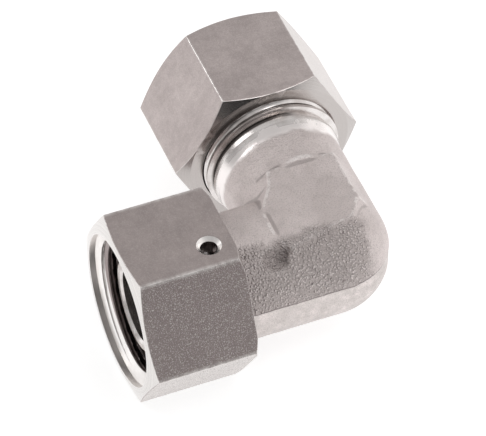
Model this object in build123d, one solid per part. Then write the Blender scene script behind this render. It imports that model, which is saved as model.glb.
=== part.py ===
from build123d import *
import math
import os

# Swivel elbow fitting for 20 mm hydraulic tube, stainless steel.
# The two arm axes cross at the origin. Arm A runs along +Y and takes the tube.
# Arm B runs along -X and ends in a swivel nut. Nut flats face up and down, +Z is up.
# Arm B's pieces are drawn along +Y like arm A's and then turned a quarter about Z.
# Diameters all follow from the tube: each one is given as a step up or down from another.

# Tube, passage and thread
tube_diameter = 20.0
tube_wall = 2.0
thread_over_tube = 10.0
thread_pitch = 2.0
nut_wall = 3.0
seat_cone_angle = 12.0

# Depths below the thread's crest for each millimetre of pitch, as in every metric thread
pitch_line_share = 0.32476
minor_line_share = 0.54127

# Clearances and fits
tube_clearance = 0.1
ring_bore_clearance = 0.15
nut_hole_clearance = 0.25
thread_clearance = 0.05
swivel_clearance = 0.08
wire_seat_clearance = 0.02
wire_running_clearance = 0.08
nut_to_forging_gap = 0.3
ring_to_nut_gap = 0.3
ring_to_seat_gap = 0.15

# Forged body
forging_below_thread = 1.5
flash_land_depth = 0.21
forging_end = 22.5
inside_overlap = 3.0
inside_step = 0.3

# Wrench block in the corner, with one flat pad above and one below
pad_below_forging = 0.6
block_side_height = 5.0
block_shoulder = 14.1
block_end = 12.5
pad_half_width = 7.3
foot_half_width_share = 0.8
pad_outer_corner_x = 4.4
pad_outer_corner_y = -3.6
pad_side_end = 1.0
foot_outer_corner_x = 6.6
foot_outer_corner_y = -7.4
foot_side_end = -0.2
pad_lower_edge = -7.0
foot_lower_edge = -10.6
block_lower_corner = 10.4
pad_end_lower = -5.4
pad_end_upper = 4.3
pad_inner_corner_x = -8.5
pad_inner_corner_y = 10.5
foot_end_spread = 1.9
foot_end_upper = 8.6
foot_inner_corner = 11.0

# Hollow beside the block, left by the forging die
hollow_radius = 5.0
hollow_depth = 0.9
hollow_end_gap = 2.2
hollow_turn = 35.0

# Arm A: collar, undercut, thread and seat for the tube
collar_above_forging = 0.6
collar_length = 3.35
collar_rise_share = 0.7
undercut_above_forging = 0.1
undercut_start = 26.1
undercut_end = 27.1
body_end_a = 37.0
tube_stop = 26.5
seat_mouth_over_tube = 2.9
thread_end_below_undercut = 0.4

# Arm B: stub, nose cone and seal groove
stub_below_forging = 0.58
nose_end = 42.0
nose_below_tube = 0.1
cone_back = 32.3
nose_edge = 0.3
nose_bore_edge = 0.5
seal_section = 2.4
seal_groove_below_nose = 0.95
seal_groove_width = 3.0
seal_place = 37.0
seal_clearance = 0.02

# Retaining wire
wire_section = 3.0
wire_centre_above_stub = 0.03
wire_place = 27.93
wire_arc = 325.0
wire_hole_diameter = 3.6
wire_hole_sink_diameter = 5.2
wire_hole_offset = 4.9
wire_end_turn = 5.0

# Union nut on arm A, shown some turns loose
union_nut_length = 24.0
union_nut_rest = 29.46
union_far_face_below_flat = 0.45
nut_chamfer_angle = 30.0
union_mouth_above_thread = 0.3
union_thread_length = 12.6
union_relief_above_thread = 0.25
union_relief_width = 1.8
union_cone_above_tube = 2.6
union_hole_edge = 0.5

# Swivel nut on arm B
swivel_nut_length = 22.9
swivel_rear_face_above_flat = 1.3
swivel_front_face_below_flat = 0.8
swivel_front_angle = 15.6
swivel_rear_edge = 0.4
swivel_bore_length = 8.2
swivel_relief_above_thread = 0.2
swivel_relief_width = 2.5
swivel_counterbore_above_thread = 1.2
swivel_counterbore_depth = 1.3
swivel_sink_angle = 30.0

# Cutting ring
ring_length = 10.4
ring_collar_above_tube = 2.3
ring_back_above_tube = 0.7
ring_collar_length = 2.4
ring_shoulder_length = 1.6
ring_relief_above_tube = 0.45
ring_edge_length = 1.2
ring_relief_length = 1.0
ring_front_land = 0.25

# Radii that follow from the tube
tube_radius = tube_diameter / 2
passage_radius = tube_radius - tube_wall
socket_radius = tube_radius + tube_clearance
seat_mouth_radius = tube_radius + seat_mouth_over_tube / 2
nose_end_radius = tube_radius - nose_below_tube
seal_groove_radius = nose_end_radius - seal_groove_below_nose
nut_hole_radius = tube_radius + nut_hole_clearance
union_cone_radius = tube_radius + union_cone_above_tube
ring_collar_radius = tube_radius + ring_collar_above_tube
ring_back_radius = tube_radius + ring_back_above_tube
ring_relief_radius = tube_radius + ring_relief_above_tube

# Radii that follow from the thread
thread_radius = tube_radius + thread_over_tube / 2
pitch_radius = thread_radius - pitch_line_share * thread_pitch
minor_radius = thread_radius - minor_line_share * thread_pitch
union_thread_radius = pitch_radius + thread_clearance
union_mouth_radius = thread_radius + union_mouth_above_thread
union_relief_radius = thread_radius + union_relief_above_thread
swivel_relief_radius = thread_radius + swivel_relief_above_thread
swivel_counterbore_radius = thread_radius + swivel_counterbore_above_thread

# Radii that follow from the forging
forging_radius = thread_radius - forging_below_thread
collar_radius = forging_radius + collar_above_forging
undercut_radius = forging_radius + undercut_above_forging
thread_end_radius = undercut_radius - thread_end_below_undercut
stub_radius = forging_radius - stub_below_forging
swivel_bore_radius = stub_radius + swivel_clearance
wire_ring_radius = stub_radius + wire_centre_above_stub
flash_land_offset = forging_radius - flash_land_depth
pad_height = forging_radius - pad_below_forging
block_foot_height = pad_height - block_side_height
foot_half_width = forging_radius * foot_half_width_share

# Hexagons
flat_radius = thread_radius + nut_wall
corner_radius = flat_radius / math.cos(math.radians(30))
union_near_face_radius = flat_radius
union_far_face_radius = flat_radius - union_far_face_below_flat
swivel_rear_face_radius = flat_radius + swivel_rear_face_above_flat
swivel_front_face_radius = flat_radius - swivel_front_face_below_flat

# Places along the arms
cone_slope = math.tan(math.radians(seat_cone_angle))
seat_start = body_end_a - (seat_mouth_radius - socket_radius) / cone_slope
collar_end = forging_end + collar_length
swivel_nut_rear = forging_end + nut_to_forging_gap
swivel_nut_front = swivel_nut_rear + swivel_nut_length
union_nut_far = union_nut_rest + union_nut_length
union_cone_start = union_nut_rest + union_thread_length + union_relief_width
ring_gap_along = ring_to_nut_gap * math.sqrt(2)
ring_collar_end = union_cone_start + union_cone_radius - ring_collar_radius - ring_gap_along
ring_back = ring_collar_end + ring_collar_radius - ring_back_radius
ring_front = ring_back - ring_length


def turned(points):
    """Solid of revolution about the Y axis from an outline of (radius, place along the arm) points."""
    return revolve(make_face(Polyline(*points, close=True)), Axis.Y)


def pipe(radius, start, end):
    """Plain round bar about the Y axis."""
    return turned([(0, start), (radius, start), (radius, end), (0, end)])


def arm_b(part):
    """Turns what was drawn along arm A onto arm B."""
    return Rot(0, 0, 90) * part


def hexagon_blank(near, far, near_face_radius, near_angle, far_face_radius, far_angle):
    """Hexagon bar about the Y axis whose ends are turned to chamfers down to the two face circles."""
    section = Plane((0, near, 0), x_dir=(1, 0, 0), z_dir=(0, 1, 0)) * RegularPolygon(
        flat_radius, 6, major_radius=False
    )
    near_rise = (corner_radius + 1 - near_face_radius) * math.tan(math.radians(near_angle))
    far_rise = (corner_radius + 1 - far_face_radius) * math.tan(math.radians(far_angle))
    envelope = turned([
        (0, near),
        (near_face_radius, near),
        (corner_radius + 1, near + near_rise),
        (corner_radius + 1, far - far_rise),
        (far_face_radius, far),
        (0, far),
    ])
    return extrude(section, far - near) & envelope


def wrench_block():
    """Upper half of the forged block: a flat pad whose sides slope down onto the two rounds."""
    pad = [
        (-pad_half_width, block_shoulder),
        (pad_half_width, block_shoulder),
        (pad_half_width, pad_side_end),
        (pad_outer_corner_x, pad_outer_corner_y),
        (-block_lower_corner, pad_lower_edge),
        (-block_end, pad_end_lower),
        (-block_end, pad_end_upper),
        (pad_inner_corner_x, pad_inner_corner_y),
    ]
    foot = [
        (-foot_half_width, block_shoulder),
        (foot_half_width, block_shoulder),
        (foot_half_width, foot_side_end),
        (foot_outer_corner_x, foot_outer_corner_y),
        (-block_lower_corner, foot_lower_edge),
        (-block_end, foot_lower_edge),
        (-block_end - foot_end_spread, foot_end_upper),
        (-foot_inner_corner, foot_inner_corner),
    ]
    top_face = Plane.XY.offset(pad_height) * make_face(Polyline(*pad, close=True))
    foot_face = Plane.XY.offset(block_foot_height) * make_face(Polyline(*foot, close=True))
    return loft([foot_face, top_face], ruled=True)


def forging():
    """Two round arms with a ball corner, trimmed to the flash land, with the wrench block added."""
    arm = pipe(forging_radius, 0, forging_end)
    rounds = arm + arm_b(arm) + Sphere(forging_radius)
    hollow_reach = forging_radius + hollow_radius - hollow_depth
    hollow = Pos(
        -block_end - hollow_end_gap,
        -hollow_reach * math.sin(math.radians(hollow_turn)),
        hollow_reach * math.cos(math.radians(hollow_turn)),
    ) * Sphere(hollow_radius)
    block = wrench_block()
    body = rounds - hollow + block + mirror(block, about=Plane.XY)
    over_pad = Pos(-block_end, block_shoulder, pad_height) * Box(
        3 * forging_radius, 3 * forging_radius, forging_radius,
        align=(Align.MIN, Align.MAX, Align.MIN),
    )
    body = body - over_pad - mirror(over_pad, about=Plane.XY)
    land_arm = Rectangle(2 * flash_land_offset, forging_end, align=(Align.CENTER, Align.MIN))
    land = land_arm + Rot(0, 0, 90) * land_arm + Circle(flash_land_offset)
    return body & extrude(land, forging_radius, both=True)


def thread_arm():
    """Machined end of arm A: collar, undercut and thread, whose flanks are left to the surface."""
    return turned([
        (0, forging_end - inside_overlap),
        (forging_radius - inside_step, forging_end - inside_overlap),
        (forging_radius, forging_end),
        (collar_radius, forging_end + collar_rise_share * collar_length),
        (collar_radius, collar_end),
        (undercut_radius, undercut_start),
        (undercut_radius, undercut_end),
        (pitch_radius, undercut_end + pitch_radius - undercut_radius),
        (pitch_radius, body_end_a - pitch_radius + thread_end_radius),
        (thread_end_radius, body_end_a),
        (0, body_end_a),
    ])


def nose_arm():
    """Machined end of arm B: stub with the wire groove, and the cone with the seal groove."""
    cone_back_radius = nose_end_radius + (nose_end - cone_back) * cone_slope
    stub_end = cone_back - stub_radius + cone_back_radius
    outer = turned([
        (0, forging_end - inside_overlap),
        (stub_radius, forging_end - inside_overlap),
        (stub_radius, stub_end),
        (cone_back_radius, cone_back),
        (nose_end_radius + nose_edge * cone_slope, nose_end - nose_edge),
        (nose_end_radius - nose_edge, nose_end),
        (0, nose_end),
    ])
    groove_start = seal_place - seal_groove_width / 2
    seal_groove = pipe(forging_radius, groove_start, groove_start + seal_groove_width)
    seal_groove -= pipe(seal_groove_radius, 0, nose_end)
    return arm_b(outer - seal_groove - wire_channel(wire_section / 2 + wire_seat_clearance))


def wire_channel(section_radius):
    """Round-bottomed ring about the Y axis in which the retaining wire lies."""
    section = Pos(wire_ring_radius, wire_place) * Circle(section_radius)
    return revolve(section, Axis.Y)


def passage():
    """Everything bored out of the body: tube socket, seat cone, and the two bores that meet in a ball."""
    socket = turned([
        (0, tube_stop),
        (socket_radius, tube_stop),
        (socket_radius, seat_start),
        (seat_mouth_radius, body_end_a),
        (0, body_end_a),
    ])
    nose_bore = pipe(passage_radius, 0, nose_end) + turned([
        (0, nose_end - nose_bore_edge),
        (passage_radius, nose_end - nose_bore_edge),
        (passage_radius + nose_bore_edge, nose_end),
        (0, nose_end),
    ])
    return socket + pipe(passage_radius, 0, tube_stop) + arm_b(nose_bore) + Sphere(passage_radius)


def elbow_body():
    """The one-piece body: forging, both machined ends, and the passage through them."""
    return forging() + thread_arm() + nose_arm() - passage()


def union_nut():
    """Nut on arm A with thread bore, relief, 45 degree ring cone and tube hole."""
    blank = hexagon_blank(
        union_nut_rest, union_nut_far,
        union_near_face_radius, nut_chamfer_angle,
        union_far_face_radius, nut_chamfer_angle,
    )
    relief_start = union_nut_rest + union_thread_length
    cone_end = union_cone_start + union_cone_radius - nut_hole_radius
    bore = turned([
        (0, union_nut_rest),
        (union_mouth_radius, union_nut_rest),
        (union_thread_radius, union_nut_rest + union_mouth_radius - union_thread_radius),
        (union_thread_radius, relief_start),
        (union_relief_radius, relief_start + union_relief_radius - union_thread_radius),
        (union_relief_radius, union_cone_start),
        (union_cone_radius, union_cone_start),
        (nut_hole_radius, cone_end),
        (nut_hole_radius, union_nut_far - union_hole_edge),
        (nut_hole_radius + union_hole_edge, union_nut_far),
        (0, union_nut_far),
    ])
    return blank - bore


def cutting_ring():
    """Ring with two inner cutting edges, a front for the seat, and a 45 degree back under the nut."""
    front_radius = socket_radius + (ring_front - seat_start) * cone_slope - ring_to_seat_gap
    bore_radius = tube_diameter / 2 + ring_bore_clearance
    collar_start = ring_collar_end - ring_collar_length
    relief_start = ring_front + ring_edge_length
    relief_end = relief_start + ring_relief_length
    return turned([
        (front_radius - ring_front_land, ring_front),
        (front_radius, ring_front + ring_front_land),
        (front_radius, collar_start - ring_shoulder_length),
        (ring_collar_radius, collar_start),
        (ring_collar_radius, ring_collar_end),
        (ring_back_radius, ring_back),
        (bore_radius, ring_back),
        (bore_radius, relief_end),
        (ring_relief_radius, relief_end),
        (bore_radius, relief_start),
        (bore_radius, ring_front),
    ])


def swivel_nut():
    """Nut on arm B with stub bore, wire channel, relief, thread bore, sunk mouth and wire hole."""
    blank = hexagon_blank(
        swivel_nut_rear, swivel_nut_front,
        swivel_rear_face_radius, nut_chamfer_angle,
        swivel_front_face_radius, swivel_front_angle,
    )
    bore_end = swivel_nut_rear + swivel_bore_length
    thread_start = bore_end + swivel_relief_width
    sink_start = swivel_nut_front - swivel_counterbore_depth
    sink_depth = (swivel_counterbore_radius - minor_radius) * math.tan(math.radians(swivel_sink_angle))
    bore = turned([
        (0, swivel_nut_rear),
        (swivel_bore_radius + swivel_rear_edge, swivel_nut_rear),
        (swivel_bore_radius, swivel_nut_rear + swivel_rear_edge),
        (swivel_bore_radius, bore_end),
        (swivel_relief_radius, bore_end),
        (swivel_relief_radius, thread_start - swivel_relief_radius + minor_radius),
        (minor_radius, thread_start),
        (minor_radius, sink_start - sink_depth),
        (swivel_counterbore_radius, sink_start),
        (swivel_counterbore_radius, swivel_nut_front),
        (0, swivel_nut_front),
    ])
    channel = wire_channel(wire_section / 2 + wire_running_clearance)
    sink = (wire_hole_sink_diameter - wire_hole_diameter) / 2
    over_hole = Pos(-wire_hole_offset, wire_place)
    hole = over_hole * Pos(0, 0, flat_radius / 2) * Cylinder(wire_hole_diameter / 2, flat_radius)
    hole &= over_hole * Pos(0, 0, wire_ring_radius) * Box(
        2 * wire_hole_diameter, 2 * wire_hole_diameter, 2 * flat_radius,
        align=(Align.CENTER, Align.CENTER, Align.MIN),
    ) + wire_channel(wire_section / 2)
    hole_sink = over_hole * Pos(0, 0, flat_radius - sink / 2) * Cone(
        wire_hole_diameter / 2, wire_hole_sink_diameter / 2, sink
    )
    return arm_b(blank - bore - channel - hole - hole_sink)


def retaining_wire():
    """Round wire bent to most of a turn, with one end under the swivel nut's hole."""
    hole_turn = math.degrees(math.asin(wire_hole_offset / wire_ring_radius))
    section = Pos(wire_ring_radius, wire_place) * Circle(wire_section / 2)
    wire = revolve(section, Axis.Y, revolution_arc=wire_arc)
    return arm_b(Rot(0, -90 - hole_turn + wire_end_turn, 0) * wire)


def o_ring():
    """Rubber ring seated on the bottom of the nose's seal groove."""
    ring_radius = seal_groove_radius + seal_clearance + seal_section / 2
    section = Pos(ring_radius, seal_place) * Circle(seal_section / 2)
    return arm_b(revolve(section, Axis.Y))


os.makedirs("parts", exist_ok=True)
for node, part in (
    ("elbow_body", elbow_body()),
    ("union_nut", union_nut()),
    ("cutting_ring", cutting_ring()),
    ("swivel_nut", swivel_nut()),
    ("retaining_wire", retaining_wire()),
    ("o_ring", o_ring()),
):
    export_step(part, f"parts/{node}.step")
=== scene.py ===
import logging
import math
from collections.abc import Callable, Mapping, Sequence
from dataclasses import dataclass, field
from enum import Enum

import bmesh
import bpy
from mathutils import Matrix, Vector, noise


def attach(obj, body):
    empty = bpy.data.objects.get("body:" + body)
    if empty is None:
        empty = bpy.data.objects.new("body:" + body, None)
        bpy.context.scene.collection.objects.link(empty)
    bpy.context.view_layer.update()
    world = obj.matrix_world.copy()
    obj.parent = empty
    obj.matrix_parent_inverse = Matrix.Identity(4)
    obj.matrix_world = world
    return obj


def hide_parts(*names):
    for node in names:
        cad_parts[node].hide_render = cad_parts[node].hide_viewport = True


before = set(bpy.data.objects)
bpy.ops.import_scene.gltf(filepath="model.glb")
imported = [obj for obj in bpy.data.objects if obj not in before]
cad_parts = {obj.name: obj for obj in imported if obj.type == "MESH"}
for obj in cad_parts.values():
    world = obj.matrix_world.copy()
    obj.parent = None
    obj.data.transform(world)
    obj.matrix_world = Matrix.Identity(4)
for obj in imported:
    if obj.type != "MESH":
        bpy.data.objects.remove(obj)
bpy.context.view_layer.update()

MM = 0.001
HALF_SIDE = math.radians(30)
SIDE_HALF = math.sin(HALF_SIDE)
SIDE_RISE = math.cos(HALF_SIDE)
ALL_SMOOTH = 180.0
NUT_SMOOTH = 24.0
JOIN_GAP = 1e-7
BEND = "bend"
LOG = logging.getLogger("elbow")

Number = float | int
Span = tuple[float, float]
Spot = tuple[float, float, float]
Colour = tuple[float, float, float, float]
Profile = Sequence[Span]
Ring = Callable[[float], Span]


class Arm(Enum):
    """The two arms of the elbow, each with the turn that brings a form drawn along +Y onto it."""

    TUBE = 0.0
    SWIVEL = 90.0

    def place(self) -> Matrix:
        """Matrix that turns a form drawn along +Y onto this arm."""
        return Matrix.Rotation(math.radians(self.value), 4, "Z")

    def along(self, point: Vector) -> float:
        """Distance of a point along this arm from the crossing of the axes."""
        return point.y if self is Arm.TUBE else -point.x

    def across(self, point: Vector) -> float:
        """Distance of a point from this arm's axis."""
        return math.hypot(point.x, point.z) if self is Arm.TUBE else math.hypot(point.y, point.z)


class Grain(Enum):
    """How a nut's flats were worked."""

    BRUSHED = "brushed"
    PICKLED = "pickled"


class Signal:
    """One output socket on which shader maths is written as plain expressions."""

    def __init__(self, net: "Net", socket: bpy.types.NodeSocket) -> None:
        """Wraps a socket of a node network."""
        self.net = net
        self.socket = socket

    def __add__(self, other: "Signal | Number") -> "Signal":
        """Sum."""
        return self.net.maths("ADD", self, other)

    def __radd__(self, other: Number) -> "Signal":
        """Sum with a number on the left."""
        return self.net.maths("ADD", other, self)

    def __sub__(self, other: "Signal | Number") -> "Signal":
        """Difference."""
        return self.net.maths("SUBTRACT", self, other)

    def __rsub__(self, other: Number) -> "Signal":
        """Difference with a number on the left."""
        return self.net.maths("SUBTRACT", other, self)

    def __mul__(self, other: "Signal | Number") -> "Signal":
        """Product."""
        return self.net.maths("MULTIPLY", self, other)

    def __rmul__(self, other: Number) -> "Signal":
        """Product with a number on the left."""
        return self.net.maths("MULTIPLY", other, self)

    def __abs__(self) -> "Signal":
        """Size without its sign."""
        return self.net.maths("ABSOLUTE", self)

    def larger(self, other: "Signal | Number") -> "Signal":
        """The larger of two values at each point."""
        return self.net.maths("MAXIMUM", self, other)

    def smaller(self, other: "Signal | Number") -> "Signal":
        """The smaller of two values at each point."""
        return self.net.maths("MINIMUM", self, other)

    def smooth(self, low: float, high: float) -> "Signal":
        """Rises smoothly from 0 at low to 1 at high, or falls where high is the lower.

        Args:
            low: Value at which the result is 0.
            high: Value at which it is 1.

        Returns:
            The result, between 0 and 1.
        """
        start, end = min(low, high), max(low, high)
        sides = (0.0, 1.0) if low < high else (1.0, 0.0)
        node = self.net.node(
            "ShaderNodeMapRange",
            {"interpolation_type": "SMOOTHSTEP"},
            {"Value": self, "From Min": start, "From Max": end, "To Min": sides[0], "To Max": sides[1]},
        )
        return Signal(self.net, node.outputs["Result"])


Source = Signal | float | int | tuple


class Net:
    """A node network with one method for any node, and short ones for the usual few."""

    def __init__(self, tree: bpy.types.NodeTree) -> None:
        """Starts an empty network in a tree."""
        self.tree = tree
        tree.nodes.clear()

    def node(
        self,
        kind: str,
        settings: Mapping[str, object] | None = None,
        inputs: Mapping[str | int, Source] | None = None,
    ) -> bpy.types.Node:
        """Adds one node.

        Args:
            kind: The node's type name.
            settings: Its properties, set before its sockets.
            inputs: Values or signals, by socket name or place.

        Returns:
            The new node.
        """
        new = self.tree.nodes.new(kind)
        for name, value in (settings or {}).items():
            setattr(new, name, value)
        for name, value in (inputs or {}).items():
            if isinstance(value, Signal):
                self.tree.links.new(value.socket, new.inputs[name])
            else:
                new.inputs[name].default_value = value
        return new

    def maths(self, operation: str, *values: "Signal | Number") -> Signal:
        """One Math node on the values given."""
        node = self.node("ShaderNodeMath", {"operation": operation}, dict(enumerate(values)))
        return Signal(self, node.outputs[0])

    def vector(self, operation: str, *values: Source) -> Signal:
        """One Vector Math node on the values given."""
        node = self.node("ShaderNodeVectorMath", {"operation": operation}, dict(enumerate(values)))
        return Signal(self, node.outputs[0])

    def mix(self, factor: "Signal | Number", low: Source, high: Source) -> Signal:
        """Colour between low and high."""
        node = self.node("ShaderNodeMix", {"data_type": "RGBA"}, {0: factor, 6: low, 7: high})
        return Signal(self, node.outputs[2])

    def noise(self, place: Signal, scale: float, detail: float = 3.0, roughness: float = 0.5) -> Signal:
        """Noise between 0 and 1.

        Args:
            place: Place in millimetres.
            scale: Cycles for each millimetre.
            detail: Number of finer layers.
            roughness: Strength of the finer layers.

        Returns:
            The noise.
        """
        node = self.node(
            "ShaderNodeTexNoise",
            {"noise_dimensions": "3D"},
            {"Vector": place, "Scale": scale, "Detail": detail, "Roughness": roughness},
        )
        return Signal(self, node.outputs["Fac"])

    def place(self) -> Signal:
        """Place on the piece in its own frame.

        Returns:
            The place, in millimetres.
        """
        coordinates = self.node("ShaderNodeTexCoord")
        scale = (1 / MM, 1 / MM, 1 / MM)
        return self.vector("MULTIPLY", Signal(self, coordinates.outputs["Object"]), scale)

    def facing(self) -> "tuple[Signal, Signal, Signal]":
        """The three parts of the surface's direction in the piece's own frame."""
        coordinates = self.node("ShaderNodeTexCoord")
        return self.split(Signal(self, coordinates.outputs["Normal"]))

    def join(self, *parts: "Signal | Number") -> Signal:
        """Vector of three parts."""
        node = self.node("ShaderNodeCombineXYZ", None, dict(enumerate(parts)))
        return Signal(self, node.outputs[0])

    def split(self, vector: Signal) -> "tuple[Signal, Signal, Signal]":
        """The three parts of a vector."""
        node = self.node("ShaderNodeSeparateXYZ", None, {0: vector})
        return tuple(Signal(self, output) for output in node.outputs)

    def bump(self, height: Signal, depth: float) -> Signal:
        """Surface direction of a height.

        Args:
            height: Height of 0 to 1.
            depth: Depth in metres that a height of 1 stands for.

        Returns:
            The direction.
        """
        node = self.node("ShaderNodeBump", None, {"Height": height, "Distance": depth, "Strength": 1.0})
        return Signal(self, node.outputs["Normal"])


class Finish:
    """What every finish shares: one material, made once."""

    name = "finish"

    def material(self) -> bpy.types.Material:
        """Makes the material, or gives it where it is there already.

        Returns:
            The material.
        """
        made = bpy.data.materials.get(self.name)
        if made is None:
            made = bpy.data.materials.new(self.name)
            made.use_nodes = True
            net = Net(made.node_tree)
            shader = net.node("ShaderNodeBsdfPrincipled", None, self.surface(net))
            net.node("ShaderNodeOutputMaterial", None, {"Surface": Signal(net, shader.outputs[0])})
        return made

    def surface(self, net: Net) -> dict[str, Source]:
        """Inputs of the surface's shader."""
        raise NotImplementedError


@dataclass(frozen=True)
class ForgedSteel(Finish):
    """Blasted forging with a coarse patch and a parting line, machined bright on the collar; painted shade
    along the parting line, in the creases, in the dent and between the pebbles, and painted highlight on
    convex edges and pebble tops.
    """

    name: str = "forged_steel_skin"
    blasted: Colour = (0.76, 0.69, 0.675, 1.0)
    shaded: Colour = (0.66, 0.595, 0.58, 1.0)
    trimmed: Colour = (0.70, 0.65, 0.63, 1.0)
    # Dark tone of random blotches and pits, and of the painted shade between the patch's pebbles
    hollows: Colour = (0.40, 0.355, 0.345, 1.0)
    # Dark colour of the painted shade along the parting line, in the creases and in the dent, and of the
    # patch's real specks
    seam: Colour = (0.20, 0.17, 0.165, 1.0)
    machined: Colour = (0.88, 0.83, 0.815, 1.0)
    # Light tone of the trimmed band's mottling and of the painted highlight on the pebbles' tops
    pebble: Colour = (0.86, 0.79, 0.775, 1.0)
    wander_scale: float = 0.35
    grain_scale: float = 3.4
    cloud_scale: float = 0.12
    blotch_scale: float = 0.45
    speck_scale: float = 0.8
    pebble_scale: float = 1.75
    machined_from: float = 22.0
    machined_blend: float = 0.9
    machined_wander: float = 2.5
    trim_line: float = 2.4
    trim_wander: float = 0.8
    trim_tones: Span = (0.42, 0.8)
    trim_blend: Span = (0.1, -0.1)
    seam_width: Span = (0.26, 0.1)
    seam_breaks: Span = (0.3, 0.42)
    seam_share: float = 0.85
    outer_x: Span = (4.0, 8.0)
    outer_y: Span = (-4.0, -8.0)
    patch_x: Span = (7.5, 4.0)
    patch_y: Span = (-3.0, -5.5)
    patch_wander: Span = (5.0, 4.0)
    pebble_edge: Span = (0.62, 0.12)
    pebble_share: float = 0.8
    pebble_height: float = 3.2
    speck_tones: Span = (0.64, 0.7)
    speck_share: float = 0.7
    gap_share: float = 0.6
    pit_tones: Span = (0.55, 0.3)
    pit_share: float = 0.45
    cloud_tones: Span = (0.3, 0.7)
    hollow_tones: Span = (0.5, 0.3)
    hollow_share: float = 0.15
    # Bend range, breaks and share of the painted crease shade, then of the painted edge highlight
    crease_bend: Span = (0.0015, 0.008)
    crease_breaks: Span = (0.1, 0.45)
    crease_share: float = 0.42
    rubbed_bend: Span = (-0.0035, -0.009)
    rubbed_breaks: Span = (0.42, 0.55)
    rubbed_share: float = 0.8
    dent_place: Spot = (-12.2, -7.8, 10.95)
    dent_slant: float = 0.396
    dent_fade: Span = (2.6, 0.4)
    dent_side: Span = (0.56, 0.4)
    dent_share: float = 0.6
    satin: float = 0.52
    satin_range: float = 0.1
    machined_polish: float = 0.24
    grain_height: float = 0.7
    grain_depth: float = 0.14

    def trim(self, x: Signal, y: Signal, height: Signal, grain: Signal) -> tuple[Signal, Signal]:
        """Where the forging is left above its parting line, and where that line runs.

        Args:
            x: Place on the piece, in millimetres.
            y: The same, for the second axis.
            height: Height above the wandering parting line, in millimetres.
            grain: Fine noise that breaks the line.

        Returns:
            Shares of what is above the line and of the line's painted shade.
        """
        outer = y.smooth(*self.outer_y).larger(x.smooth(*self.outer_x))
        above = 1 - height.smooth(*self.trim_blend) * outer
        return above, abs(height).smooth(*self.seam_width) * outer * grain.smooth(*self.seam_breaks)

    def peel(self, net: Net, place: Signal) -> Signal:
        """Height of the coarse patch's pebbles.

        Args:
            net: The node network.
            place: Place on the piece, in millimetres.

        Returns:
            0 between the pebbles and 1 on them.
        """
        pebbles = net.node(
            "ShaderNodeTexVoronoi",
            {"feature": "SMOOTH_F1"},
            {"Vector": place, "Scale": self.pebble_scale, "Smoothness": 0.35, "Randomness": 0.95},
        )
        return Signal(net, pebbles.outputs["Distance"]).smooth(*self.pebble_edge)

    def dent(self, net: Net, place: Signal, x: Signal, y: Signal) -> Signal:
        """Where the painted shade of the one-sided dent lies.

        Args:
            net: The node network.
            place: Place on the piece, in millimetres.
            x: Its first part.
            y: Its second part.

        Returns:
            Share of the dent's painted shade.
        """
        reach = net.node("ShaderNodeVectorMath", {"operation": "DISTANCE"}, {0: place, 1: self.dent_place})
        beside = x - self.dent_place[0] - (y - self.dent_place[1]) * self.dent_slant
        return Signal(net, reach.outputs["Value"]).smooth(*self.dent_fade) * beside.smooth(*self.dent_side)

    def edges(self, net: Net, colour: Signal, grain: Signal, blotch: Signal) -> Signal:
        """Paints shade into the forging's creases and a highlight onto its convex edges.

        Args:
            net: The node network.
            colour: Colour of the forging so far.
            grain: Fine noise that breaks the painted crease shade.
            blotch: Coarse noise that breaks the painted edge highlight.

        Returns:
            The new colour.
        """
        bends = net.node("ShaderNodeAttribute", {"attribute_name": BEND, "attribute_type": "GEOMETRY"})
        bend = Signal(net, bends.outputs["Fac"])
        # Painted shade in the hollow creases and painted highlight on the raised edges, by the stored bend
        crease = bend.smooth(*self.crease_bend) * grain.smooth(*self.crease_breaks)
        rubbed = bend.smooth(*self.rubbed_bend) * blotch.smooth(*self.rubbed_breaks)
        brightened = net.mix(rubbed * self.rubbed_share, colour, self.machined)
        return net.mix(crease * self.crease_share, brightened, self.seam)

    def surface(self, net: Net) -> dict[str, Source]:
        """Paints the forging.

        Args:
            net: The node network.

        Returns:
            Inputs of the shader, by socket name.
        """
        place = net.place()
        x, y, z = net.split(place)
        wander = net.noise(place, self.wander_scale, 2.0) - 0.5
        grain = net.noise(place, self.grain_scale, 2.0, 0.6)
        cloud = net.noise(place, self.cloud_scale, 3.0)
        blotch = net.noise(place, self.blotch_scale, 3.0, 0.6)
        start, end = self.machined_from - self.machined_blend, self.machined_from + self.machined_blend
        machined = (y + wander * self.machined_wander).smooth(start, end)
        above, seam = self.trim(x, y, z + wander * self.trim_wander - self.trim_line, grain)
        patch = (y + wander * self.patch_wander[1]).smooth(*self.patch_y)
        patch = patch * above * (x + wander * self.patch_wander[0]).smooth(*self.patch_x)
        peel = self.peel(net, place)
        specks = net.noise(place, self.speck_scale, 3.0, 0.65).smooth(*self.speck_tones) * patch
        colour = net.mix(cloud.smooth(*self.cloud_tones), self.shaded, self.blasted)
        trimmed = net.mix(blotch.smooth(*self.trim_tones), self.trimmed, self.pebble)
        colour = net.mix(1 - above, colour, trimmed)
        colour = net.mix(blotch.smooth(*self.hollow_tones) * self.hollow_share, colour, self.hollows)
        colour = self.edges(net, colour, grain, blotch)
        # Painted highlight on the tops of the patch's pebbles
        colour = net.mix(patch * peel * self.pebble_share, colour, self.pebble)
        # Painted shade in the gaps between the pebbles, with the real fine pits
        pocked = patch * (1 - peel) * self.gap_share + grain.smooth(*self.pit_tones) * self.pit_share
        colour = net.mix(pocked, colour, self.hollows)
        colour = net.mix(specks * self.speck_share, colour, self.seam)
        # Painted shade in the one-sided dent
        colour = net.mix(self.dent(net, place, x, y) * self.dent_share, colour, self.seam)
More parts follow.
